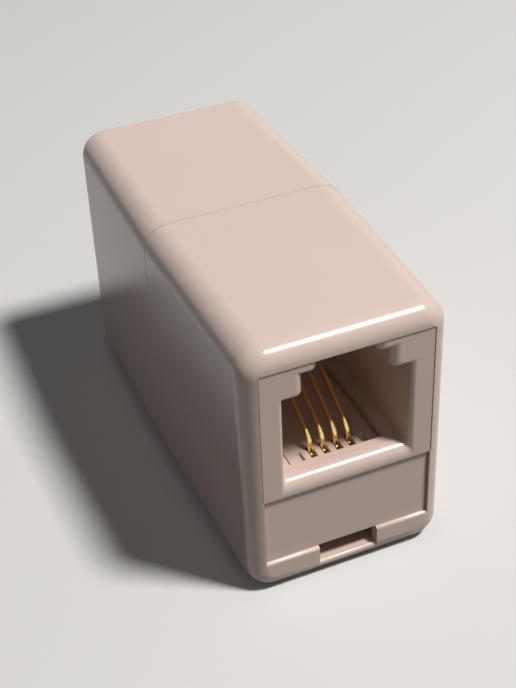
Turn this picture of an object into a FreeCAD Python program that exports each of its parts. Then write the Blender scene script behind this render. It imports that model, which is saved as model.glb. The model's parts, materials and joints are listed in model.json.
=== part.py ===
import FreeCAD, Part

import math
import os

# Telephone inline coupler: a moulded sleeve with a six-position jack in each mouth, joined by four leads.
# Millimetres. X runs across, Y along the sleeve and Z up, from the middle of the underside.
# The front mouth faces -Y. Everything at the rear mouth is the front's own piece turned half a turn about Z.

# Plug opening: the stepped keyhole of a six-position jack, latch side up
OPENING_WIDTH = 9.8
OPENING_HEIGHT = 7.35
STEP_WIDTH = 6.6
STEP_HEIGHT = 1.8
KEYWAY_WIDTH = 4.35
OPENING_EDGE_RADIUS = 0.4
PLUG_LIP_RADIUS = 1.05

# Jack block round it
BLOCK_LENGTH = 13.0
BLOCK_SIDE = 1.68
BLOCK_TOP_WALL = 0.8
BLOCK_REAR_WALL = 1.0
BLOCK_EDGE_BREAK = 0.12
PLUG_FLOOR = 1.2
FRONT_WALL = 2.7

# Plug cavity behind the front wall
CAVITY_NARROWING = 0.15
CAVITY_ROOF = 0.83
RIDGE_WIDTH = 0.95
RIDGE_HEIGHT = 0.3
KEYWAY_LENGTH = 8.0

# Contact wires
WIRE_DIAMETER = 0.46
WIRE_COUNT = 4
WIRE_SETBACK = 0.35
WIRE_TURN_RADIUS = 0.36
WIRE_ROOT_RISE = 36.0
WIRE_KNEE_HEIGHT = 1.5
WIRE_KNEE_RADIUS = 2.4
WIRE_FREE_RISE = 28.5
WIRE_TIP_SETBACK = 0.75
WIRE_COVER = 0.06
FAN_PITCH = 2.3
FAN_LENGTH = 4.6
FAN_SETBACK = 2.15
FAN_RADIUS = 1.5

# Comb in the plug lip, and the one on the cavity's rear wall
POSITION_COUNT = 6
PITCH = 1.016
COMB_SETBACK = 1.8
COMB_LIP = 0.1
COMB_TOOTH_LENGTH = 1.0
SLOT_SIDE_GAP = 0.05
GROOVE_TOP_GAP = 0.03
REAR_TOOTH_LENGTH = 1.1
REAR_TOOTH_LOW = 2.6
REAR_TOOTH_HIGH = 5.6

# Wire tails, ferrules and leads behind the jack blocks
BLOCK_SPACING = 9.44
TAIL_STANDOFF = 0.5
TAIL_RADIUS = 0.5
FERRULE_DIAMETER = 1.3
FERRULE_LENGTH = 2.9
FERRULE_WAIST = 0.12
FERRULE_DROP = 1.0
CRIMP_GAP = 0.01
LEAD_DIAMETER = 1.0
LEAD_CORE_DIAMETER = 0.4
LEAD_STRIP = 1.2
CORE_GAP = 0.2
LEAD_BEND_RADIUS = 1.5
LEAD_FLOOR_GAP = 0.1
LEAD_COLOURS = ("black", "red", "green", "yellow")

# Keeper: blank panel, shelf under the jack block, and hooks behind the lip
KEEPER_HEIGHT = 5.95
KEEPER_PLATE = 1.2
KEEPER_EDGE_BREAK = 0.15
SHELF_THICKNESS = 1.1
SHELF_END_GAP = 0.75
HOOK_WIDTH = 2.0
HOOK_OFFSET = 4.3
GUSSET_THICKNESS = 0.9
GUSSET_LENGTH = 3.2
CATCH_WIDTH = 1.1
CATCH_LENGTH = 1.4
CATCH_HEIGHT = 0.35
CATCH_SETBACK = 1.0

# Sleeve: walls, swell towards the parting line at mid-length, and outside edges
BLOCK_RECESS = 0.08
KEEPER_RECESS = 0.28
SIDE_WALL = 1.15
SIDE_SWELL = 0.4
TOP_WALL = 1.68
TOP_SWELL = 0.2
BOTTOM_WALL = 1.3
LONG_EDGE_RADIUS = 2.0
MOUTH_EDGE_RADIUS = 1.5
BAY_CORNER_RADIUS = 0.25

# Sleeve: rails along the chamber, and the lip across the bottom of each mouth with its release notch
RAIL_WIDTH = 0.7
RAIL_HEIGHT = 1.3
CHAMBER_INSET = 0.06
LIP_HEIGHT = 1.55
LIP_DEPTH = 0.9
LIP_EDGE_RADIUS = 0.25
NOTCH_WIDTH = 4.7

# Clearances between pieces
BLOCK_GAP = 0.07
KEEPER_SIDE_GAP = 0.04
KEEPER_TOP_GAP = 0.12
SHELF_SIDE_GAP = 0.15
HOOK_GAP = 0.05
CATCH_GAP = 0.06

# Flats that stand for each wire's and barrel's round section, inside its true circle
ROUND_SIDE_COUNT = 6

# Reach of a cut past the face that it opens, and depth to which a piece's own features grow together
OVERCUT = 1.0
BITE = 0.1

# Across: the plug opening sets the block, the block sets the bay, and the bay sets the sleeve
BLOCK_WIDTH = OPENING_WIDTH + 2 * BLOCK_SIDE
BAY_WIDTH = BLOCK_WIDTH + 2 * BLOCK_GAP
CHAMBER_WIDTH = BAY_WIDTH - 2 * CHAMBER_INSET
MOUTH_WIDTH = BAY_WIDTH + 2 * SIDE_WALL
MIDDLE_WIDTH = MOUTH_WIDTH + 2 * SIDE_SWELL
CAVITY_END_WIDTH = OPENING_WIDTH - 2 * CAVITY_NARROWING
WIRE_RADIUS = WIRE_DIAMETER / 2
SLOT_WIDTH = WIRE_DIAMETER + 2 * SLOT_SIDE_GAP

# Up from the underside
LIP_TOP = BOTTOM_WALL + LIP_HEIGHT
BAY_FLOOR = LIP_TOP + KEEPER_HEIGHT
FLOOR_Z = BAY_FLOOR + PLUG_FLOOR
WELL_Z = FLOOR_Z - RIDGE_HEIGHT
SHOULDER_Z = FLOOR_Z + OPENING_HEIGHT
STEP_Z = SHOULDER_Z + STEP_HEIGHT
BLOCK_TOP = STEP_Z + BLOCK_TOP_WALL
CAVITY_TOP = BLOCK_TOP - CAVITY_ROOF
BAY_CEILING = BLOCK_TOP + BLOCK_GAP
MOUTH_HEIGHT = BAY_CEILING + TOP_WALL
MIDDLE_HEIGHT = MOUTH_HEIGHT + TOP_SWELL
RUN_Z = BAY_FLOOR + WIRE_COVER + WIRE_RADIUS
GROOVE_TOP = RUN_Z + WIRE_RADIUS + GROOVE_TOP_GAP
KNEE_Z = RUN_Z + WIRE_KNEE_HEIGHT
SHELF_TOP = BAY_FLOOR - KEEPER_TOP_GAP
SHELF_UNDER = SHELF_TOP - SHELF_THICKNESS
FERRULE_TOP = RUN_Z - FERRULE_DROP
FERRULE_END = FERRULE_TOP - FERRULE_LENGTH

# Along the sleeve, from the front mouth inwards
SLEEVE_LENGTH = 2 * (BLOCK_RECESS + BLOCK_LENGTH) + BLOCK_SPACING
MOUTH_Y = -SLEEVE_LENGTH / 2
DRAFT_START = MOUTH_Y + MOUTH_EDGE_RADIUS + BITE
BLOCK_FRONT = MOUTH_Y + BLOCK_RECESS
BLOCK_REAR = BLOCK_FRONT + BLOCK_LENGTH
CAVITY_REAR = BLOCK_REAR - BLOCK_REAR_WALL
SLOT_FRONT = BLOCK_FRONT + COMB_SETBACK
WELL_FRONT = SLOT_FRONT + COMB_LIP
TURN_Y = SLOT_FRONT + WIRE_SETBACK + WIRE_RADIUS + WIRE_TURN_RADIUS
FAN_END = BLOCK_REAR - FAN_SETBACK
FAN_START = FAN_END - FAN_LENGTH
TAIL_Y = BLOCK_REAR + TAIL_STANDOFF
TIP_Y = CAVITY_REAR - WIRE_TIP_SETBACK
PLATE_FRONT = MOUTH_Y + KEEPER_RECESS
PLATE_BACK = PLATE_FRONT + KEEPER_PLATE
SHELF_END = TAIL_Y - FERRULE_DIAMETER / 2 - SHELF_END_GAP
CATCH_Y = SHELF_END - CATCH_SETBACK

# Slopes of a contact's two rising runs
ROOT_SLOPE = math.tan(math.radians(WIRE_ROOT_RISE))
FREE_SLOPE = math.tan(math.radians(WIRE_FREE_RISE))
WIRE_CORNER = TURN_Y - WIRE_TURN_RADIUS / math.tan(math.radians(WIRE_ROOT_RISE / 2))
KNEE_Y = WIRE_CORNER + WIRE_KNEE_HEIGHT / ROOT_SLOPE


def vec(x, y, z):
    return FreeCAD.Vector(x, y, z)


def box(x_range, y_range, z_range):
    """A block between two limits on each axis."""
    size = [high - low for low, high in (x_range, y_range, z_range)]
    corner = vec(x_range[0], y_range[0], z_range[0])
    return Part.makeBox(size[0], size[1], size[2], corner)


def centred(width, y_range, z_range, x=0.0):
    """A block of the given width about X = x."""
    return box((x - width / 2, x + width / 2), y_range, z_range)


def half_turn(shape):
    """The same piece at the rear mouth."""
    turned = shape.copy()
    turned.rotate(vec(0, 0, 0), vec(0, 0, 1), 180)
    return turned


def prism(outline, y_start, y_end):
    """An (x, z) outline carried along Y."""
    points = [vec(x, y_start, z) for x, z in outline]
    face = Part.Face(Part.makePolygon(points + points[:1]))
    return face.extrude(vec(0, y_end - y_start, 0))


def side_prism(outline, x_low, x_high):
    """A (y, z) outline carried along X."""
    points = [vec(x_low, y, z) for y, z in outline]
    face = Part.Face(Part.makePolygon(points + points[:1]))
    return face.extrude(vec(x_high - x_low, 0, 0))


def plan_prism(outline, z_low, z_high):
    """An (x, y) outline carried up Z."""
    points = [vec(x, y, z_low) for x, y in outline]
    face = Part.Face(Part.makePolygon(points + points[:1]))
    return face.extrude(vec(0, 0, z_high - z_low))


def edges_where(shape, test):
    """The edges whose bounding box passes a test."""
    return [edge for edge in shape.Edges if test(edge.BoundBox)]


def same(a, b, near=0.001):
    return abs(a - b) < near


def spread(count, pitch):
    """Positions of evenly spaced copies about X = 0."""
    return [(index - (count - 1) / 2) * pitch for index in range(count)]


def solid_within(faces):
    """The solid that a closed set of faces bounds."""
    shell = Part.makeShell(faces)
    shell.sewShape()
    solid = Part.Solid(shell)
    return solid if solid.Volume > 0 else solid.reversed()


def drafted(near, far):
    """A solid between two outlines with matching edges: flat over their runs, ruled over their arcs."""
    faces = [Part.Face(near), Part.Face(far)]
    for start, end in zip(near.OrderedEdges, far.OrderedEdges):
        if start.Curve.TypeId == "Part::GeomLine":
            corners = start.discretize(2) + end.discretize(2)[::-1]
            faces.append(Part.Face(Part.makePolygon(corners + corners[:1])))
        else:
            faces.append(Part.makeRuledSurface(start, end))
    return solid_within(faces)


# Sleeve


def rounded_section(width, height, y):
    """Outside section of the sleeve at one place along it."""
    radius = LONG_EDGE_RADIUS
    across = width / 2 - radius
    centres = [(across, height - radius), (-across, height - radius), (-across, radius), (across, radius)]

    def rim(centre, angle):
        return vec(centre[0] + radius * math.cos(angle), y, centre[1] + radius * math.sin(angle))

    edges = []
    for index, (centre, following) in enumerate(zip(centres, centres[1:] + centres[:1])):
        start = math.pi / 2 * index
        middle = start + math.pi / 4
        end = start + math.pi / 2
        edges.append(Part.Arc(rim(centre, start), rim(centre, middle), rim(centre, end)).toShape())
        edges.append(Part.LineSegment(rim(centre, end), rim(following, end)).toShape())
    return Part.Wire(edges)


def sleeve_outside():
    """Two halves that swell to the parting line, each from a straight collar rounded over at its mouth."""
    rim = rounded_section(MOUTH_WIDTH, MOUTH_HEIGHT, MOUTH_Y)
    collar = Part.Face(rim).extrude(vec(0, DRAFT_START - MOUTH_Y, 0))
    round_rim = edges_where(collar, lambda b: same(b.YMax, MOUTH_Y))
    collar = collar.makeFillet(MOUTH_EDGE_RADIUS, round_rim)
    near = rounded_section(MOUTH_WIDTH, MOUTH_HEIGHT, DRAFT_START)
    half = collar.fuse(drafted(near, rounded_section(MIDDLE_WIDTH, MIDDLE_HEIGHT, 0)))
    return half.fuse(half_turn(half)).removeSplitter()


def bay_and_chamber():
    """The hollow right through the sleeve: jack bay, wiring chamber below, and a lip left at each mouth."""
    ends = (MOUTH_Y - OVERCUT, -MOUTH_Y + OVERCUT)
    bay = centred(BAY_WIDTH, ends, (BAY_FLOOR, BAY_CEILING))
    tops = edges_where(bay, lambda b: same(b.ZMin, BAY_CEILING) and b.YLength > SLEEVE_LENGTH)
    bay = bay.makeFillet(BAY_CORNER_RADIUS, tops)
    over_lips = centred(CHAMBER_WIDTH, ends, (LIP_TOP, BAY_FLOOR + BITE))
    between_lips = (MOUTH_Y + LIP_DEPTH, -MOUTH_Y - LIP_DEPTH)
    chamber = centred(CHAMBER_WIDTH, between_lips, (BOTTOM_WALL, LIP_TOP + BITE))
    notches = centred(NOTCH_WIDTH, ends, (BOTTOM_WALL, LIP_TOP + BITE))
    return bay.fuse([over_lips, chamber, notches])


def rail(side):
    """Ledge along one side wall: the jack blocks slide in on it and the keepers stop against its ends."""
    wall = side * CHAMBER_WIDTH / 2
    inner = wall - side * RAIL_WIDTH
    root = wall + side * BITE
    end = PLATE_BACK + KEEPER_SIDE_GAP
    slope = RAIL_WIDTH / 2
    outline = [
        (root, BAY_FLOOR),
        (inner, BAY_FLOOR),
        (inner, BAY_FLOOR - RAIL_HEIGHT + slope),
        (root, BAY_FLOOR - RAIL_HEIGHT - slope),
    ]
    return prism(outline, end, -end)


def soften_lips(shell):
    """Rounds the front edges of both lips and of the floor of their release notches."""
    near_mouth = SLEEVE_LENGTH / 2 - BITE

    def across_lip(b):
        at_mouth = min(abs(b.YMin), abs(b.YMax)) > near_mouth
        at_height = same(b.ZMin, b.ZMax) and (same(b.ZMin, LIP_TOP) or same(b.ZMin, BOTTOM_WALL))
        return at_mouth and at_height and same(b.YLength, 0) and b.XLength > LIP_EDGE_RADIUS

    return shell.makeFillet(LIP_EDGE_RADIUS, edges_where(shell, across_lip))


def sleeve():
    shell = soften_lips(sleeve_outside().cut(bay_and_chamber()))
    return shell.fuse([rail(-1), rail(1)]).removeSplitter()


# Jack block


def block_blank():
    """Outside of the jack block, with its front and upper edges broken."""
    blank = centred(BLOCK_WIDTH, (BLOCK_FRONT, BLOCK_REAR), (BAY_FLOOR, BLOCK_TOP))

    def broken(b):
        on_front = same(b.YMax, BLOCK_FRONT) and not same(b.ZMax, BAY_FLOOR)
        along_top = same(b.ZMin, BLOCK_TOP) and same(b.XLength, 0)
        return on_front or along_top

    return blank.makeChamfer(BLOCK_EDGE_BREAK, edges_where(blank, broken))


def plug_opening():
    """The stepped keyhole through the front wall."""
    wide = OPENING_WIDTH / 2
    step = STEP_WIDTH / 2
    key = KEYWAY_WIDTH / 2
    above = BLOCK_TOP + OVERCUT
    shoulder = [(wide, FLOOR_Z), (wide, SHOULDER_Z), (step, SHOULDER_Z)]
    right = shoulder + [(step, STEP_Z), (key, STEP_Z), (key, above)]
    left = [(-x, z) for x, z in reversed(right)]
    return prism(right + left, BLOCK_FRONT - OVERCUT, BLOCK_FRONT + FRONT_WALL)


def round_opening(block):
    """Rounds the front edges of the plug opening: a large radius on the lip, a small one on the rest."""
    reach = OPENING_WIDTH / 2 + BITE

    def on_front(b):
        flat = same(b.YMin, BLOCK_FRONT) and same(b.YMax, BLOCK_FRONT)
        return flat and max(b.XMax, -b.XMin) < reach

    def around(b):
        above_lip = b.ZMin > FLOOR_Z - BITE and b.ZMax > FLOOR_Z + BITE
        return on_front(b) and above_lip and b.ZMin < STEP_Z + BITE

    rounded = block.makeFillet(OPENING_EDGE_RADIUS, edges_where(block, around))

    def on_lip(b):
        level = same(b.ZMin, FLOOR_Z) and same(b.ZMax, FLOOR_Z)
        return level and b.YMax < BLOCK_FRONT + OPENING_EDGE_RADIUS and b.XLength > STEP_WIDTH

    return rounded.makeFillet(PLUG_LIP_RADIUS, edges_where(rounded, on_lip))


def plug_cavity():
    """Room for the plug behind the front wall, narrowing towards its end."""
    front = BLOCK_FRONT + FRONT_WALL
    near = OPENING_WIDTH / 2
    far = CAVITY_END_WIDTH / 2
    outline = [(-near, front), (near, front), (far, CAVITY_REAR), (-far, CAVITY_REAR)]
    cavity = plan_prism(outline, FLOOR_Z, CAVITY_TOP)
    well_width = CAVITY_END_WIDTH - 2 * RIDGE_WIDTH
    well = centred(well_width, (WELL_FRONT, CAVITY_REAR), (WELL_Z, FLOOR_Z + BITE))
    keyway_depth = (BLOCK_FRONT, BLOCK_FRONT + KEYWAY_LENGTH)
    keyway = centred(KEYWAY_WIDTH, keyway_depth, (CAVITY_TOP - BITE, BLOCK_TOP + OVERCUT))
    return cavity.fuse([well, keyway])


def comb_teeth():
    """Teeth between the wire slots, level with the plug lip."""
    depth = (WELL_FRONT - BITE, WELL_FRONT + COMB_TOOTH_LENGTH)
    height = (WELL_Z - BITE, FLOOR_Z)
    return [centred(PITCH - SLOT_WIDTH, depth, height, x) for x in spread(POSITION_COUNT - 1, PITCH)]


def rear_teeth():
    """Teeth on the cavity's rear wall, which keep the wires' free ends apart."""
    depth = (CAVITY_REAR - REAR_TOOTH_LENGTH, CAVITY_REAR + BITE)
    height = (FLOOR_Z + REAR_TOOTH_LOW, FLOOR_Z + REAR_TOOTH_HIGH)
    return [centred(PITCH - SLOT_WIDTH, depth, height, x) for x in spread(WIRE_COUNT + 1, PITCH)]


def comb_slots():
    """Slots that let the wires up through the floor: six positions, of which the middle ones hold wires."""
    above_turn = (WELL_Z - RUN_Z) / ROOT_SLOPE
    under_wire = (WIRE_RADIUS + SLOT_SIDE_GAP) / math.sin(math.radians(WIRE_ROOT_RISE))
    depth = (SLOT_FRONT, WIRE_CORNER + above_turn + under_wire)
    height = (BAY_FLOOR - OVERCUT, FLOOR_Z + OVERCUT)
    return [centred(SLOT_WIDTH, depth, height, x) for x in spread(POSITION_COUNT, PITCH)]


def wire_grooves():
    """Grooves under the floor, fanning out from the comb to the rear face."""
    half = SLOT_WIDTH / 2
    grooves = []
    for near, far in zip(spread(WIRE_COUNT, PITCH), spread(WIRE_COUNT, FAN_PITCH)):
        centre = [(near, SLOT_FRONT + BITE), (near, FAN_START), (far, FAN_END), (far, BLOCK_REAR + OVERCUT)]
        outline = [(x - half, y) for x, y in centre] + [(x + half, y) for x, y in reversed(centre)]
        grooves.append(plan_prism(outline, BAY_FLOOR - OVERCUT, GROOVE_TOP))
    return grooves


def catch_pocket():
    """Pocket under the block for the keeper's catch."""
    half = CATCH_LENGTH / 2 + CATCH_GAP
    top = BAY_FLOOR + CATCH_HEIGHT + CATCH_GAP
    return centred(CATCH_WIDTH + 2 * CATCH_GAP, (CATCH_Y - half, CATCH_Y + half), (BAY_FLOOR - OVERCUT, top))


def jack_block():
    block = round_opening(block_blank().cut(plug_opening()))
    block = block.cut(plug_cavity()).fuse(comb_teeth() + rear_teeth())
    cuts = comb_slots() + wire_grooves() + [catch_pocket()]
    return block.cut(Part.makeCompound(cuts)).removeSplitter()


# Bent wires: contacts and leads


def bent_path(points, radii):
    """Straight runs through the points, joined by tangent arcs of the given radii."""
    edges = []
    start = points[0]
    for before, corner, after, radius in zip(points, points[1:], points[2:], radii):
        back = (before - corner).normalize()
        ahead = (after - corner).normalize()
        half_angle = back.getAngle(ahead) / 2
        reach = radius / math.tan(half_angle)
        middle = (back + ahead).normalize() * (radius / math.sin(half_angle) - radius)
        enter = corner + back * reach
        leave = corner + ahead * reach
        edges.append(Part.LineSegment(start, enter).toShape())
        edges.append(Part.Arc(enter, corner + middle, leave).toShape())
        start = leave
    edges.append(Part.LineSegment(start, points[-1]).toShape())
    return Part.Wire(edges)


def ring(centre, axis, radius):
    """Outline of a round section, drawn with its few flats, of which one faces straight up or sideways."""
    circle = Part.makeCircle(radius, centre, axis)
    circle.rotate(centre, axis, 180 / ROUND_SIDE_COUNT)
    points = circle.discretize(ROUND_SIDE_COUNT + 1)[:-1]
    return Part.makePolygon(points + points[:1])


def round_wire(points, radii, diameter):
    """A round wire along a bent path: its section is carried along each run and turned round each arc."""
    section = ring(points[0], points[1] - points[0], diameter / 2)
    faces = [Part.Face(section)]
    for run in bent_path(points, radii).OrderedEdges:
        if run.Curve.TypeId == "Part::GeomLine":
            step = run.lastVertex(True).Point - run.firstVertex(True).Point
            faces += section.extrude(step).Faces
            section = section.translated(step)
        else:
            turn = math.degrees(run.Length / run.Curve.Radius)
            faces += section.revolve(run.Curve.Center, run.Curve.Axis, turn).Faces
            section = section.rotated(run.Curve.Center, run.Curve.Axis, turn)
    return solid_within(faces + [Part.Face(section)])


def contact_points(near, far):
    """Route of one contact: ferrule, block's rear edge, fan, comb, knee and free end."""
    return [
        vec(far, TAIL_Y, FERRULE_END + LEAD_STRIP + CORE_GAP),
        vec(far, TAIL_Y, RUN_Z),
        vec(far, FAN_END, RUN_Z),
        vec(near, FAN_START, RUN_Z),
        vec(near, WIRE_CORNER, RUN_Z),
        vec(near, KNEE_Y, KNEE_Z),
        vec(near, TIP_Y, KNEE_Z + (TIP_Y - KNEE_Y) * FREE_SLOPE),
    ]


def contact(near, far):
    """One spring wire, from its tail in the ferrule to its free end over the plug's blades."""
    radii = (TAIL_RADIUS, FAN_RADIUS, FAN_RADIUS, WIRE_TURN_RADIUS, WIRE_KNEE_RADIUS)
    return round_wire(contact_points(near, far), radii, WIRE_DIAMETER)


def ferrule(far):
    """Crimp barrel on one wire's tail, drawn in where it grips the wire and the lead."""
    up = vec(0, 0, 1)
    full = FERRULE_DIAMETER / 2
    radii = (full, full - FERRULE_WAIST, full, full - FERRULE_WAIST, full)
    rise = FERRULE_LENGTH / (len(radii) - 1)
    foot = vec(far, TAIL_Y, FERRULE_END)
    rings = [ring(foot + up * (rise * index), up, radius) for index, radius in enumerate(radii)]
    barrel = [drafted(low, high) for low, high in zip(rings, rings[1:])]
    bore = Part.Face(ring(foot - up * OVERCUT, up, WIRE_RADIUS + CRIMP_GAP))
    return barrel[0].fuse(barrel[1:]).cut(bore.extrude(up * (FERRULE_LENGTH + 2 * OVERCUT))).removeSplitter()


def lead(far):
    """One insulated lead, down from the front ferrule, along the sleeve's floor and up to the rear one."""
    floor = BOTTOM_WALL + LEAD_FLOOR_GAP + LEAD_DIAMETER / 2
    route = [
        vec(far, TAIL_Y, FERRULE_END),
        vec(far, TAIL_Y, floor),
        vec(far, -TAIL_Y, floor),
        vec(far, -TAIL_Y, FERRULE_END),
    ]
    jacket = round_wire(route, (LEAD_BEND_RADIUS, LEAD_BEND_RADIUS), LEAD_DIAMETER)
    up = vec(0, 0, 1)
    starts = [vec(far, y, FERRULE_END - BITE) for y in (TAIL_Y, -TAIL_Y)]
    ends = [Part.Face(ring(start, up, LEAD_CORE_DIAMETER / 2)) for start in starts]
    return jacket.fuse([end.extrude(up * (BITE + LEAD_STRIP)) for end in ends])


# Keeper


def keeper_plate():
    """Blank panel that stands on the lip and closes the lower half of the mouth."""
    width = CHAMBER_WIDTH - 2 * KEEPER_SIDE_GAP
    plate = centred(width, (PLATE_FRONT, PLATE_BACK), (LIP_TOP, SHELF_TOP))
    front = edges_where(plate, lambda b: same(b.YMax, PLATE_FRONT) and not same(b.ZMax, LIP_TOP))
    return plate.makeFillet(KEEPER_EDGE_BREAK, front)


def hook(x):
    """Foot behind the lip that stops the keeper from coming out."""
    front = MOUTH_Y + LIP_DEPTH + HOOK_GAP
    sole = BOTTOM_WALL + HOOK_GAP
    foot = centred(HOOK_WIDTH, (front, PLATE_BACK), (sole, LIP_TOP + BITE), x)
    toe = edges_where(foot, lambda b: same(b.ZMax, sole) and same(b.YMin, PLATE_BACK))
    return foot.makeChamfer((PLATE_BACK - front) / 2, toe)


def gusset(x):
    """Triangular web between the plate and the shelf."""
    root = PLATE_BACK - BITE
    outline = [
        (root, SHELF_UNDER + BITE),
        (PLATE_BACK + GUSSET_LENGTH, SHELF_UNDER + BITE),
        (PLATE_BACK + GUSSET_LENGTH, SHELF_UNDER),
        (PLATE_BACK, SHELF_UNDER - GUSSET_LENGTH),
        (root, SHELF_UNDER - GUSSET_LENGTH),
    ]
    return side_prism(outline, x - GUSSET_THICKNESS / 2, x + GUSSET_THICKNESS / 2)


def catch():
    """Ramped bump on the shelf that snaps into the pocket under the jack block."""
    front = CATCH_Y - CATCH_LENGTH / 2
    back = CATCH_Y + CATCH_LENGTH / 2
    low = SHELF_TOP - BITE
    top = BAY_FLOOR + CATCH_HEIGHT
    outline = [(front, low), (front, top), (CATCH_Y, top), (back, SHELF_TOP), (back, low)]
    return side_prism(outline, -CATCH_WIDTH / 2, CATCH_WIDTH / 2)


def keeper():
    shelf_width = CHAMBER_WIDTH - 2 * RAIL_WIDTH - 2 * SHELF_SIDE_GAP
    pieces = [centred(shelf_width, (PLATE_BACK - BITE, SHELF_END), (SHELF_UNDER, SHELF_TOP)), catch()]
    for side in (-1, 1):
        pieces.append(hook(side * HOOK_OFFSET))
        pieces.append(gusset(side * HOOK_OFFSET))
    return keeper_plate().fuse(pieces).removeSplitter()


def build():
    """Every piece of the coupler by its node's name."""
    nodes = {"sleeve": sleeve(), "front_jack_block": jack_block(), "front_keeper": keeper()}
    wires = zip(spread(WIRE_COUNT, PITCH), spread(WIRE_COUNT, FAN_PITCH))
    for index, (near, far) in enumerate(wires, start=1):
        nodes[f"front_contact_{index}"] = contact(near, far)
        nodes[f"front_ferrule_{index}"] = ferrule(far)
    for name in list(nodes):
        if name.startswith("front_"):
            nodes[name.replace("front_", "rear_")] = half_turn(nodes[name])
    for colour, far in zip(LEAD_COLOURS, spread(WIRE_COUNT, FAN_PITCH)):
        nodes[f"lead_{colour}"] = lead(far)
    return nodes


os.makedirs("parts", exist_ok=True)
for name, shape in build().items():
    solid = shape.Solids[0]
    print(f"{name}: {len(shape.Solids)} solid, valid {shape.isValid()}, {solid.Volume:.2f} mm3")
    solid.exportStep(f"parts/{name}.step")
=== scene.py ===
import json
import math

import bmesh
import bpy
from mathutils import Matrix, Vector

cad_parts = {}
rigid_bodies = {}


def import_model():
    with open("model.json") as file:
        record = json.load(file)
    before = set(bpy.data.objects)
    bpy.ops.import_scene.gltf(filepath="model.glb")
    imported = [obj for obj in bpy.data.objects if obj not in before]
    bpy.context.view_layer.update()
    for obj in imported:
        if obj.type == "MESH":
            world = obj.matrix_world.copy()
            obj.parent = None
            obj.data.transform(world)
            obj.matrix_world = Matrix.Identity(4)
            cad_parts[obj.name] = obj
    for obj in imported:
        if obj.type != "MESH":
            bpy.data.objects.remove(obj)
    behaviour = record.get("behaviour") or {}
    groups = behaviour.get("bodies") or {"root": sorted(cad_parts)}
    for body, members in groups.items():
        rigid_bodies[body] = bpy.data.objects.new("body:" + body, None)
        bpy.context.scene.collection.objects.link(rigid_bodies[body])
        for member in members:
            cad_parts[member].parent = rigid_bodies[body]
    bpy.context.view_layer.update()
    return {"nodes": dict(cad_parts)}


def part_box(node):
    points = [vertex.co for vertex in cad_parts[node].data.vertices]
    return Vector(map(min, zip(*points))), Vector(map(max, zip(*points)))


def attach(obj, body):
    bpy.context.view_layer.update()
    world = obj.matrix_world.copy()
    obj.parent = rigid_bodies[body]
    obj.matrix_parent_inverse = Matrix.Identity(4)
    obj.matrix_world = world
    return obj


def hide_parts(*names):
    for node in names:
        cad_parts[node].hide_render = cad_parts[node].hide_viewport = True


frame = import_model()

# Telephone inline coupler: a glossy almond sleeve with a six-position jack in each mouth.
# Lengths below are millimetres unless a name says otherwise. X runs across, Y along the sleeve and Z up.
MM = 0.001

# Broken edges of the moulded pieces, the angle past which an edge is one, the angle within which a wall
# is flat, and how close together doubled points lie
SLEEVE_EDGE = 0.06
JACK_EDGE = 0.05
KEEPER_EDGE = 0.05
EDGE_STEPS = 3
EDGE_ANGLE = math.radians(38)
FLAT_ANGLE = math.radians(0.4)
WELD = 0.0005

# Plug opening in the jack block's front wall, with its moulded corners and rounded edges
OPENING_WIDTH = 9.8
STEP_WIDTH = 6.6
KEYWAY_WIDTH = 4.35
CREST_Z = 10.0
SHOULDER_Z = 17.35
STEP_Z = 19.15
JAMB_ROUND = 0.35
STEP_ROUND = 0.7
LIP_ROUND = 1.05
ROUND_STEPS = 14
INNER_CORNER = 0.12
STEP_CORNER = 0.3
FLOOR_CORNER = 0.3
CORNER_POINTS = 6

# Front wall and the floor behind it: the comb lies below the lip's crest, between two ridges
FACE_DEPTH = 1.3
WALL_DEPTH = 2.7
WALL_OVERLAP = 0.1
WALL_SIDE = 5.9
WALL_TOP_MARGIN = 0.12
WIRE_ROOM_Z = 9.36
CREST_DEPTH = 1.72
COMB_DEPTH = 2.32
COMB_Z = 9.45
RIDGE_X = 3.8
CAVITY_DEPTH = 12.0
GROOVE_WIDTH = 0.36
GROOVE_DEPTH = 0.3
GROOVE_END = 11.2

# Slots of the comb: four for the wires, and a shallow spare one, closed below, at each end
SLOT_COUNT = 6
SLOT_SETBACK = 0.03
SLOT_WIDTH = 0.56
SLOT_LENGTH = 1.25
SPARE_SLOTS = (0, SLOT_COUNT - 1)
SPARE_SLOT_DEPTH = 0.28
SPARE_SLOT_LENGTH = 0.95
WEB_AHEAD = 0.1
WEB_BEHIND = 1.4
WEB_Z = 9.0

# How far a cutting body reaches past the faces that it opens
PAST_FACE = 1.0
PAST_WALL = 0.02
PAST_STEP = 3.0
PAST_CREST = 0.2
PAST_FLOOR = 0.5

# Flash line where the two halves of the sleeve's mould meet
FLASH_HALF_WIDTH = 0.08
FLASH_HEIGHT = 0.015
FLASH_ROOT = 0.006
SLEEVE_CORNER = 2.0
CORNER_STEPS = 16

# Spring wires: their round section and the bends of their route
WIRE_DIAMETER = 0.42
WIRE_ROUNDNESS = 6
WIRE_PITCH = 1.016
FAN_PITCH = 2.3
WIRE_TAIL_Y = -4.22
WIRE_RUN_Z = 9.09
FAN_END_Y = -6.87
FAN_START_Y = -11.47
WIRE_TAIL_Z = 6.59
WIRE_TURN_Y = -15.22
ROOT_RISE = math.radians(54.0)
FREE_RISE = math.radians(28.5)
KNEE_HEIGHT = 1.6
TIP_Y = -6.47
TAIL_RADIUS = 0.5
FAN_RADIUS = 1.5
ROOT_RADIUS = 0.22
KNEE_RADIUS = 2.4
BEND_STEP = math.radians(5)

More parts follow.
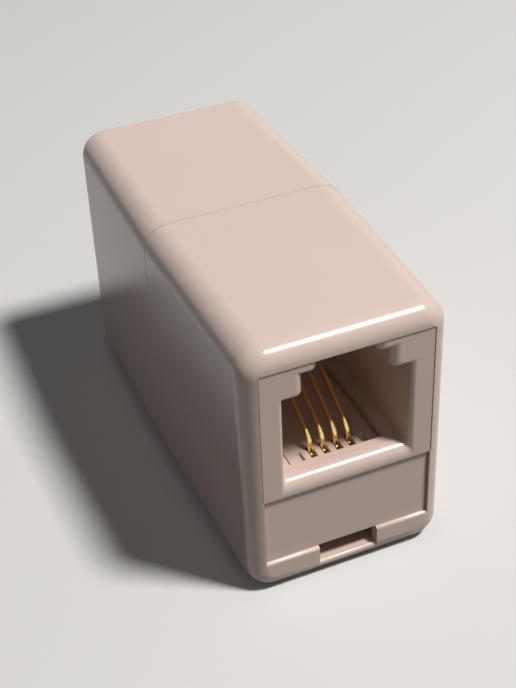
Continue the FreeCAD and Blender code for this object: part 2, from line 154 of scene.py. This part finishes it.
# Leads and the crimp barrels that join them to the wires
LEAD_DIAMETER = 1.0
LEAD_BEND = 1.5
LEAD_FLOOR_Z = 1.9
LEAD_TOP_Z = 5.19
BARREL_DIAMETER = 1.3
BARREL_LENGTH = 2.9
BARREL_WAIST = 0.12
BARREL_PRESSES = 2
BARREL_BORE = 0.5
BARREL_STEPS = 24
BARREL_TURNS = 40

# Camera of the photograph: its place, its two turns and roll, and its focal length in pixels of the long side
CAMERA_PLACE = (-32.65, -83.439, 74.912)
CAMERA_AZIMUTH = math.radians(-21.712)
CAMERA_RISE = math.radians(36.425)
CAMERA_ROLL = math.radians(-2.603)
FOCAL_PIXELS = 1375.411
LONG_SIDE_PIXELS = 688
SENSOR = 36.0
NEAREST_SEEN_M = 0.005

# Studio: one soft lamp high on the right, a plain room and a pale floor. Room and floor each have a dim
# value for the light that they throw on the coupler, and a pale one for where they are looked at.
LAMP_DIRECTION = (0.36, -0.31, 0.88)
LAMP_DISTANCE_M = 0.6
LAMP_SIZE_M = 0.1
LAMP_WATTS = 3.25
LAMP_TONE = "#fffefd"
ROOM_LIGHT = 0.09
ROOM_SEEN = 1.0
ROOM_TONE = "#f0f3f6"
FLOOR_SIZE_M = 0.8
FLOOR_LIGHT_TONE = "#6c6c6a"
FLOOR_SEEN_TONE = "#e9e7e3"


def linear(hex_colour):
    """The linear RGBA of an sRGB hex colour."""
    channels = [int(hex_colour[i : i + 2], 16) / 255 for i in (1, 3, 5)]
    return tuple(c / 12.92 if c <= 0.04045 else ((c + 0.055) / 1.055) ** 2.4 for c in channels) + (1.0,)


def node(tree, kind, settings=(), links=()):
    """Adds a node; settings are its properties or input values, links the sockets that feed its inputs."""
    made = tree.nodes.new(kind)
    for name, value in dict(settings).items():
        if name in made.inputs:
            made.inputs[name].default_value = value
        else:
            setattr(made, name, value)
    for name, socket in dict(links).items():
        tree.links.new(socket, made.inputs[name])
    return made


def new_material(name):
    """A material's tree with its shader and the object's own coordinates in metres."""
    material = bpy.data.materials.new(name)
    material.use_nodes = True
    tree = material.node_tree
    shader = tree.nodes["Principled BSDF"]
    place = node(tree, "ShaderNodeTexCoord").outputs["Object"]
    return material, tree, shader, place


def moulded_abs(name, colours, roughness, scuffs):
    """Moulded ABS: an even, slightly milky gloss with its mould's fine grain and light handling scuffs."""
    material, tree, shader, place = new_material(name)
    shader.inputs["IOR"].default_value = 1.53
    shader.inputs["Subsurface Weight"].default_value = 0.08
    shader.inputs["Subsurface Scale"].default_value = 1.0 * MM
    shader.inputs["Subsurface Radius"].default_value = (1.0, 0.8, 0.7)
    cloud_scale = 1 / (9 * MM)
    cloud = node(tree, "ShaderNodeTexNoise", {"Scale": cloud_scale, "Detail": 3.0}, {"Vector": place})
    tones = {"data_type": "RGBA", "A": linear(colours[0]), "B": linear(colours[1])}
    tone = node(tree, "ShaderNodeMix", tones, {"Factor": cloud.outputs["Fac"]})
    tree.links.new(tone.outputs["Result"], shader.inputs["Base Color"])
    # Scuffs are drawn out along the sleeve
    along = node(tree, "ShaderNodeMapping", {"Scale": (1.0, 0.16, 1.0)}, {"Vector": place}).outputs[0]
    scuff_scale = 1 / (0.9 * MM)
    scuff = node(tree, "ShaderNodeTexNoise", {"Scale": scuff_scale, "Detail": 5.0}, {"Vector": along})
    wear = {"From Min": 0.35, "From Max": 0.75, "To Min": roughness, "To Max": roughness + scuffs}
    gloss = node(tree, "ShaderNodeMapRange", wear, {"Value": scuff.outputs["Fac"]})
    tree.links.new(gloss.outputs[0], shader.inputs["Roughness"])
    grain_scale = 1 / (0.35 * MM)
    grain = node(tree, "ShaderNodeTexNoise", {"Scale": grain_scale, "Detail": 2.0}, {"Vector": place})
    relief = {"Strength": 0.06, "Distance": 0.012 * MM}
    bump = node(tree, "ShaderNodeBump", relief, {"Height": grain.outputs["Fac"]})
    tree.links.new(bump.outputs[0], shader.inputs["Normal"])
    return material


def plated_gold():
    """Hard gold over drawn phosphor bronze: warm mirror gloss with faint drawing lines along the wire."""
    material, tree, shader, place = new_material("hard_gold_plate")
    shader.inputs["Metallic"].default_value = 1.0
    wear_scale = 1 / (0.8 * MM)
    wear = node(tree, "ShaderNodeTexNoise", {"Scale": wear_scale, "Detail": 4.0}, {"Vector": place})
    tones = {"data_type": "RGBA", "A": linear("#fcdf9a"), "B": linear("#f3cf82")}
    tone = node(tree, "ShaderNodeMix", tones, {"Factor": wear.outputs["Fac"]})
    tree.links.new(tone.outputs["Result"], shader.inputs["Base Color"])
    gloss = node(tree, "ShaderNodeMapRange", {"To Min": 0.1, "To Max": 0.16}, {"Value": wear.outputs["Fac"]})
    tree.links.new(gloss.outputs[0], shader.inputs["Roughness"])
    # Real drawing lines are finer, so these are drawn as coarse as they need to be to show
    line_scale = 1 / (0.05 * MM)
    along = node(tree, "ShaderNodeMapping", {"Scale": (1.0, 0.05, 0.4)}, {"Vector": place}).outputs[0]
    lines = node(tree, "ShaderNodeTexNoise", {"Scale": line_scale, "Detail": 1.0}, {"Vector": along})
    relief = {"Strength": 0.04, "Distance": 0.004 * MM}
    bump = node(tree, "ShaderNodeBump", relief, {"Height": lines.outputs["Fac"]})
    tree.links.new(bump.outputs[0], shader.inputs["Normal"])
    return material


def tinned_barrel():
    """Tin-plated crimp barrels: soft grey metal, unevenly dulled all over."""
    material, tree, shader, place = new_material("tinned_brass")
    shader.inputs["Metallic"].default_value = 1.0
    dull_scale = 1 / (0.5 * MM)
    dull = node(tree, "ShaderNodeTexNoise", {"Scale": dull_scale, "Detail": 4.0}, {"Vector": place})
    tones = {"data_type": "RGBA", "A": linear("#d4d2ca"), "B": linear("#aeaca4")}
    tone = node(tree, "ShaderNodeMix", tones, {"Factor": dull.outputs["Fac"]})
    tree.links.new(tone.outputs["Result"], shader.inputs["Base Color"])
    gloss = node(tree, "ShaderNodeMapRange", {"To Min": 0.3, "To Max": 0.5}, {"Value": dull.outputs["Fac"]})
    tree.links.new(gloss.outputs[0], shader.inputs["Roughness"])
    return material


def extruded_pvc(name, colours):
    """Extruded PVC insulation: satin, with a faint unevenness from the die."""
    material, tree, shader, place = new_material(name)
    shader.inputs["IOR"].default_value = 1.53
    speck_scale = 1 / (0.6 * MM)
    speck = node(tree, "ShaderNodeTexNoise", {"Scale": speck_scale, "Detail": 3.0}, {"Vector": place})
    tones = {"data_type": "RGBA", "A": linear(colours[0]), "B": linear(colours[1])}
    tone = node(tree, "ShaderNodeMix", tones, {"Factor": speck.outputs["Fac"]})
    tree.links.new(tone.outputs["Result"], shader.inputs["Base Color"])
    gloss = node(tree, "ShaderNodeMapRange", {"To Min": 0.38, "To Max": 0.5}, {"Value": speck.outputs["Fac"]})
    tree.links.new(gloss.outputs[0], shader.inputs["Roughness"])
    return material


# Each roughness range stays on one side of 0.27, because hard-edged specks show where the scuffs cross it
ALMOND = moulded_abs("moulded_almond_abs", ("#e4ccc0", "#e1c8bc"), 0.2, 0.04)
# The flash line's almond is a little darker than the sleeve's: painted shade for the dark line along the
# parting line
ALMOND_FLASH_PAINTED_SHADE = moulded_abs("almond_abs_flash_painted_shade", ("#d7c1b6", "#d0baaf"), 0.34, 0.02)
ALMOND_JACK = moulded_abs("moulded_almond_abs_jack", ("#e2cabe", "#dfc6ba"), 0.21, 0.04)
ALMOND_KEEPER = moulded_abs("moulded_almond_abs_keeper", ("#e2cabe", "#dfc6ba"), 0.23, 0.03)
GOLD = plated_gold()
TIN = tinned_barrel()
PVC_TONES = {
    "black": ("#1d1c1c", "#262424"),
    "red": ("#a3231f", "#b52b25"),
    "green": ("#1e7a3c", "#268a47"),
    "yellow": ("#d9b51f", "#e3c233"),
}


def place_piece(piece, material, slot, *cad_nodes):
    """Dresses a piece, rides it on the coupler and lets it stand for its solids."""
    piece.data.materials.append(material)
    bpy.context.scene.collection.objects.link(piece)
    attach(piece, "root")
    if cad_nodes:
        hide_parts(*cad_nodes)


def spread(pitch, count=4):
    """Evenly spaced places about the middle."""
    return [(index - (count - 1) / 2) * pitch for index in range(count)]


def finished_mesh(name, shape):
    """The mesh of a shape whose editing ends here."""
    data = bpy.data.meshes.new(name)
    shape.to_mesh(data)
    shape.free()
    return data


def welded(name, body, flat_angle=None):
    """A copy of a body with its doubled points joined and, given an angle, each flat wall made one face."""
    shape = bmesh.new()
    shape.from_mesh(body)
    bmesh.ops.remove_doubles(shape, verts=shape.verts, dist=WELD * MM)
    if flat_angle:
        bmesh.ops.dissolve_limit(shape, angle_limit=flat_angle, verts=shape.verts, edges=shape.edges)
    return finished_mesh(name, shape)


def skinned(name, sections, capped):
    """A closed body over a row of matching outlines in millimetres, capped or else joined end to end."""
    shape = bmesh.new()
    loops = [[shape.verts.new(Vector(point) * MM) for point in section] for section in sections]
    ahead = loops[1:] if capped else loops[1:] + loops[:1]
    for near, far in zip(loops, ahead):
        for index in range(len(near)):
            beside = (index + 1) % len(near)
            shape.faces.new((near[index], near[beside], far[beside], far[index]))
    if capped:
        shape.faces.new(loops[0])
        shape.faces.new(loops[-1])
    bmesh.ops.recalc_face_normals(shape, faces=shape.faces)
    return finished_mesh(name, shape)


def block_of(x_range, y_range, z_range):
    """A plain block between two limits on each axis, in millimetres."""
    (left, right), (low, high) = x_range, z_range
    outline = [(left, low), (right, low), (right, high), (left, high)]
    return skinned("block", [[(x, y, z) for x, z in outline] for y in y_range], True)


def carved(body, steps):
    """A body after a row of additions and cuts."""
    scene = bpy.context.scene.collection.objects
    work = bpy.data.objects.new("work", body)
    scene.link(work)
    tools = []
    for operation, tool_body in steps:
        tool = bpy.data.objects.new("tool", tool_body)
        scene.link(tool)
        tools.append(tool)
        change = work.modifiers.new("change", "BOOLEAN")
        change.operation = operation
        change.solver = "EXACT"
        change.object = tool
    made = bpy.data.meshes.new_from_object(work.evaluated_get(bpy.context.evaluated_depsgraph_get()))
    for spent in tools + [work]:
        bpy.data.objects.remove(spent)
    return made


def outlined(corners, radii):
    """A closed outline of square corners, each turned to an arc of its radius."""
    outline = []
    for index, (corner, radius) in enumerate(zip(corners, radii)):
        here = Vector(corner)
        back = (Vector(corners[index - 1]) - here).normalized() * radius
        ahead = (Vector(corners[(index + 1) % len(corners)]) - here).normalized() * radius
        turns = [math.pi / 2 * step / CORNER_POINTS for step in range(CORNER_POINTS + 1)] if radius else [0.0]
        outline += [here + back * (1 - math.sin(turn)) + ahead * (1 - math.cos(turn)) for turn in turns]
    return outline


def eased(depth, radius):
    """How far a rounded edge stands back from its straight face at a depth behind the front."""
    if depth >= radius:
        return 0.0
    return radius - math.sqrt(radius**2 - (radius - depth) ** 2)


def plug_keyhole(jamb_flare, step_flare, floor):
    """Outline of the plug opening, widened by its edges' flare, over a floor at the given height."""
    wide = OPENING_WIDTH / 2 + jamb_flare
    step = STEP_WIDTH / 2 + step_flare
    key = KEYWAY_WIDTH / 2 + step_flare
    shoulder = SHOULDER_Z + jamb_flare
    top = STEP_Z + jamb_flare
    above = STEP_Z + PAST_STEP
    right = [(wide, floor), (wide, shoulder), (step, shoulder), (step, top), (key, top), (key, above)]
    radii = [FLOOR_CORNER, INNER_CORNER, STEP_CORNER, INNER_CORNER, STEP_CORNER, 0.0]
    left = [(-x, z) for x, z in reversed(right)]
    return outlined(right + left, radii + radii[::-1])


def plug_opening(front):
    """The room that the plug opening takes out of the front wall, with rounded jambs, steps and lip."""
    depths = [LIP_ROUND * (1 - math.cos(math.pi / 2 * step / ROUND_STEPS)) for step in range(ROUND_STEPS + 1)]
    sections = []
    for depth in [-PAST_FACE] + depths + [WALL_DEPTH + PAST_WALL]:
        inside = max(depth, 0.0)
        floor = CREST_Z - eased(inside, LIP_ROUND)
        outline = plug_keyhole(eased(inside, JAMB_ROUND), eased(inside, STEP_ROUND), floor)
        sections.append([(x, front + depth, z) for x, z in outline])
    return skinned("opening", sections, True)


def comb_floor(front):
    """The room over the comb: a short fall behind the lip's crest and a flat floor between the ridges."""
    fall = [(CREST_DEPTH, CREST_Z), (COMB_DEPTH, COMB_Z), (CAVITY_DEPTH, COMB_Z)]
    over = [(CAVITY_DEPTH, CREST_Z + PAST_CREST), (CREST_DEPTH, CREST_Z + PAST_CREST)]
    sections = [[(x, front + y, z) for y, z in fall + over] for x in (-RIDGE_X, RIDGE_X)]
    return skinned("comb_floor", sections, True)


def jack_front(cad_body):
    """The jack block with its opening, lip and comb as they were moulded."""
    low, high = (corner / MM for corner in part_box("front_jack_block"))
    front = low.y
    face = block_of((low.x, high.x), (front, front + FACE_DEPTH), (low.z, high.z))
    wall_depths = (front + FACE_DEPTH - WALL_OVERLAP, front + WALL_DEPTH)
    wall = block_of((-WALL_SIDE, WALL_SIDE), wall_depths, (WIRE_ROOM_Z, high.z - WALL_TOP_MARGIN))
    steps = [("UNION", face), ("UNION", wall)]
    steps += [("DIFFERENCE", plug_opening(front)), ("DIFFERENCE", comb_floor(front))]
    start = front + COMB_DEPTH + SLOT_SETBACK
    for index, x in enumerate(spread(WIRE_PITCH, SLOT_COUNT)):
        sides = (x - SLOT_WIDTH / 2, x + SLOT_WIDTH / 2)
        if index in SPARE_SLOTS:
            web_sides = (x - WIRE_PITCH / 2, x + WIRE_PITCH / 2)
            web = block_of(web_sides, (start - WEB_AHEAD, start + WEB_BEHIND), (WEB_Z, COMB_Z))
            steps.append(("UNION", web))
            slot = block_of(sides, (start, start + SPARE_SLOT_LENGTH), (COMB_Z - SPARE_SLOT_DEPTH, CREST_Z))
        else:
            slot = block_of(sides, (start, start + SLOT_LENGTH), (low.z - PAST_FLOOR, CREST_Z))
        steps.append(("DIFFERENCE", slot))
    for sides in ((RIDGE_X - GROOVE_WIDTH, RIDGE_X), (-RIDGE_X, GROOVE_WIDTH - RIDGE_X)):
        groove = block_of(sides, (front + COMB_DEPTH, front + GROOVE_END), (COMB_Z - GROOVE_DEPTH, CREST_Z))
        steps.append(("DIFFERENCE", groove))
    return carved(cad_body, steps)


def edged(cad_node, body, material, slot, edge):
    """A moulded piece with its arrises broken as a mould leaves them, and its walls kept flat."""
    data = welded(cad_node + "_moulded", body, FLAT_ANGLE)
    data.shade_smooth()
    piece = bpy.data.objects.new(cad_node + "_moulded", data)
    broken = piece.modifiers.new("broken_edges", "BEVEL")
    broken.limit_method = "ANGLE"
    broken.angle_limit = EDGE_ANGLE
    broken.width = edge * MM
    broken.segments = EDGE_STEPS
    broken.harden_normals = True
    flat = piece.modifiers.new("flat_walls", "WEIGHTED_NORMAL")
    flat.keep_sharp = True
    place_piece(piece, material, slot, cad_node)


def flash_line():
    """The fine raised line round the sleeve where the two halves of its mould meet."""
    low, high = (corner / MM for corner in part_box("sleeve"))
    side = high.x - SLEEVE_CORNER
    top = high.z - SLEEVE_CORNER
    centres = [(side, top), (-side, top), (-side, SLEEVE_CORNER), (side, SLEEVE_CORNER)]
    profile = [(-FLASH_HALF_WIDTH, -FLASH_ROOT), (0.0, FLASH_HEIGHT), (FLASH_HALF_WIDTH, -FLASH_ROOT)]
    sections = []
    for index, (x, z) in enumerate(centres):
        for step in range(CORNER_STEPS + 1):
            angle = math.pi / 2 * (index + step / CORNER_STEPS)
            section = []
            for along, rise in profile:
                reach = SLEEVE_CORNER + rise
                height = z + reach * math.sin(angle)
                section.append((x + reach * math.cos(angle), along, max(height, low.z)))
            sections.append(section)
    data = skinned("sleeve_flash_line", sections, False)
    data.shade_smooth()
    # The line's darker colour is painted shade
    place_piece(bpy.data.objects.new("sleeve_flash_line", data), ALMOND_FLASH_PAINTED_SHADE, "sleeve_abs")


def moulded_pieces():
    """The sleeve with its flash line, and at each mouth a jack block and a keeper."""
    nodes = frame["nodes"]
    edged("sleeve", nodes["sleeve"].data, ALMOND, "sleeve_abs", SLEEVE_EDGE)
    flash_line()
    # The rear block is turned to face the front, carved there and turned back
    for end, turn in (("front", Matrix()), ("rear", Matrix.Rotation(math.pi, 4, "Z"))):
        block = welded("block", nodes[end + "_jack_block"].data)
        block.transform(turn)
        block = jack_front(block)
        block.transform(turn)
        edged(end + "_jack_block", block, ALMOND_JACK, "jack_abs", JACK_EDGE)
        edged(end + "_keeper", nodes[end + "_keeper"].data, ALMOND_KEEPER, "keeper_abs", KEEPER_EDGE)


def bent_route(corners, radii):
    """Points along straight runs joined by tangent arcs."""
    route = [corners[0]]
    for before, corner, after, radius in zip(corners, corners[1:], corners[2:], radii):
        back = (before - corner).normalized()
        ahead = (after - corner).normalized()
        half = back.angle(ahead) / 2
        centre = corner + (back + ahead).normalized() * (radius / math.sin(half))
        start = corner + back * (radius / math.tan(half)) - centre
        axis = start.cross(ahead).normalized()
        turn = math.pi - 2 * half
        steps = max(2, math.ceil(turn / BEND_STEP))
        route += [centre + Matrix.Rotation(turn * i / steps, 3, axis) @ start for i in range(steps + 1)]
    return route + [corners[-1]]


def contact_route(near, far):
    """From the barrel up to the block's rear edge, through the fan to the comb, and up into the cavity."""
    knee_y = WIRE_TURN_Y + KNEE_HEIGHT / math.tan(ROOT_RISE)
    knee_z = WIRE_RUN_Z + KNEE_HEIGHT
    corners = [
        Vector((far, WIRE_TAIL_Y, WIRE_TAIL_Z)),
        Vector((far, WIRE_TAIL_Y, WIRE_RUN_Z)),
        Vector((far, FAN_END_Y, WIRE_RUN_Z)),
        Vector((near, FAN_START_Y, WIRE_RUN_Z)),
        Vector((near, WIRE_TURN_Y, WIRE_RUN_Z)),
        Vector((near, knee_y, knee_z)),
        Vector((near, TIP_Y, knee_z + (TIP_Y - knee_y) * math.tan(FREE_RISE))),
    ]
    return bent_route(corners, (TAIL_RADIUS, FAN_RADIUS, FAN_RADIUS, ROOT_RADIUS, KNEE_RADIUS))


def lead_route(far):
    """Down from the front barrel, along the sleeve's floor and up to the rear one."""
    corners = [
        Vector((far, WIRE_TAIL_Y, LEAD_TOP_Z)),
        Vector((far, WIRE_TAIL_Y, LEAD_FLOOR_Z)),
        Vector((far, -WIRE_TAIL_Y, LEAD_FLOOR_Z)),
        Vector((far, -WIRE_TAIL_Y, LEAD_TOP_Z)),
    ]
    return bent_route(corners, (LEAD_BEND, LEAD_BEND))


def round_wire(name, route, diameter, side=1):
    """A round wire along a route in millimetres. At the rear mouth, side is -1."""
    data = bpy.data.curves.new(name, "CURVE")
    data.dimensions = "3D"
    spline = data.splines.new("POLY")
    spline.points.add(len(route) - 1)
    for point, place in zip(spline.points, route):
        point.co = (side * place.x * MM, side * place.y * MM, place.z * MM, 1.0)
    data.bevel_depth = diameter / 2 * MM
    data.bevel_resolution = WIRE_ROUNDNESS
    data.use_fill_caps = True
    return bpy.data.objects.new(name, data)


def barrel(name, far, side):
    """A crimp barrel, pressed in at two places. At the rear mouth, side is -1."""
    bore = BARREL_BORE / 2
    profile = [(bore, 0.0)]
    for step in range(BARREL_STEPS + 1):
        share = step / BARREL_STEPS
        waist = BARREL_WAIST * (1 - math.cos(2 * math.pi * BARREL_PRESSES * share)) / 2
        profile.append((BARREL_DIAMETER / 2 - waist, share * BARREL_LENGTH))
    profile.append((bore, BARREL_LENGTH))
    x, y = side * far, side * WIRE_TAIL_Y
    sections = []
    for radius, rise in profile:
        section = []
        for turn in range(BARREL_TURNS):
            angle = 2 * math.pi * turn / BARREL_TURNS
            section.append((x + radius * math.cos(angle), y + radius * math.sin(angle), LEAD_TOP_Z + rise))
        sections.append(section)
    data = skinned(name, sections, False)
    data.shade_smooth()
    return bpy.data.objects.new(name, data)


def wiring():
    """At each mouth four contact wires and their barrels, and the four leads between the mouths."""
    for index, (near, far) in enumerate(zip(spread(WIRE_PITCH), spread(FAN_PITCH)), start=1):
        for end, side in (("front", 1), ("rear", -1)):
            contact = f"{end}_contact_{index}"
            wire = round_wire(contact + "_wire", contact_route(near, far), WIRE_DIAMETER, side)
            place_piece(wire, GOLD, "contact_gold", contact)
            crimp = f"{end}_ferrule_{index}"
            place_piece(barrel(crimp + "_barrel", far, side), TIN, "ferrule_tin", crimp)
    for (colour, tones), far in zip(PVC_TONES.items(), spread(FAN_PITCH)):
        jacket = round_wire(f"lead_{colour}_jacket", lead_route(far), LEAD_DIAMETER)
        pvc = extruded_pvc(f"extruded_pvc_{colour}", tones)
        place_piece(jacket, pvc, f"lead_{colour}_pvc", f"lead_{colour}")


def looked_at(tree):
    """1 where the camera or a glossy piece looks, and 0 where light is thrown on the coupler."""
    path = node(tree, "ShaderNodeLightPath").outputs
    either = {0: path["Is Camera Ray"], 1: path["Is Glossy Ray"]}
    return node(tree, "ShaderNodeMath", {"operation": "MAXIMUM"}, either).outputs[0]


def pale_floor():
    """A plain pale floor that keeps the coupler's shadow."""
    half = FLOOR_SIZE_M / 2
    data = bpy.data.meshes.new("floor")
    corners = [(-half, -half, 0), (half, -half, 0), (half, half, 0), (-half, half, 0)]
    data.from_pydata(corners, [], [(0, 1, 2, 3)])
    floor = bpy.data.objects.new("floor", data)
    bpy.context.scene.collection.objects.link(floor)
    material, tree, shader, _ = new_material("pale_floor")
    shader.inputs["Roughness"].default_value = 0.9
    shader.inputs["Specular IOR Level"].default_value = 0.2
    tones = {"data_type": "RGBA", "A": linear(FLOOR_LIGHT_TONE), "B": linear(FLOOR_SEEN_TONE)}
    tone = node(tree, "ShaderNodeMix", tones, {"Factor": looked_at(tree)})
    tree.links.new(tone.outputs["Result"], shader.inputs["Base Color"])
    data.materials.append(material)


def studio_light():
    """A soft lamp above and to the right, and an even dim room that glossy pieces mirror as pale."""
    direction = Vector(LAMP_DIRECTION).normalized()
    data = bpy.data.lights.new("key", "AREA")
    data.shape = "DISK"
    data.size = LAMP_SIZE_M
    data.energy = LAMP_WATTS
    data.color = linear(LAMP_TONE)[:3]
    lamp = bpy.data.objects.new("key", data)
    lamp.location = direction * LAMP_DISTANCE_M
    lamp.rotation_euler = direction.to_track_quat("Z", "Y").to_euler()
    bpy.context.scene.collection.objects.link(lamp)
    world = bpy.data.worlds.new("plain_room")
    world.use_nodes = True
    tree = world.node_tree
    room = tree.nodes["Background"]
    room.inputs["Color"].default_value = linear(ROOM_TONE)
    glow = {"To Min": ROOM_LIGHT, "To Max": ROOM_SEEN}
    strength = node(tree, "ShaderNodeMapRange", glow, {"Value": looked_at(tree)})
    tree.links.new(strength.outputs[0], room.inputs["Strength"])
    bpy.context.scene.world = world


def photo_camera():
    """The photograph's viewpoint."""
    across, along = math.sin(CAMERA_AZIMUTH), -math.cos(CAMERA_AZIMUTH)
    reach = math.cos(CAMERA_RISE)
    away = Vector((across * reach, along * reach, math.sin(CAMERA_RISE)))
    level = Vector((-along, across, 0.0))
    upright = away.cross(level)
    right = level * math.cos(CAMERA_ROLL) + upright * math.sin(CAMERA_ROLL)
    up = upright * math.cos(CAMERA_ROLL) - level * math.sin(CAMERA_ROLL)
    data = bpy.data.cameras.new("photo_camera")
    data.sensor_width = SENSOR
    data.lens = FOCAL_PIXELS * SENSOR / LONG_SIDE_PIXELS
    data.clip_start = NEAREST_SEEN_M
    camera = bpy.data.objects.new("photo_camera", data)
    turn = Matrix((right, up, away)).transposed().to_4x4()
    camera.matrix_world = Matrix.Translation(Vector(CAMERA_PLACE) * MM) @ turn
    bpy.context.scene.collection.objects.link(camera)
    bpy.context.scene.camera = camera


moulded_pieces()
wiring()
pale_floor()
studio_light()
photo_camera()
bpy.context.scene.view_settings.view_transform = "Standard"
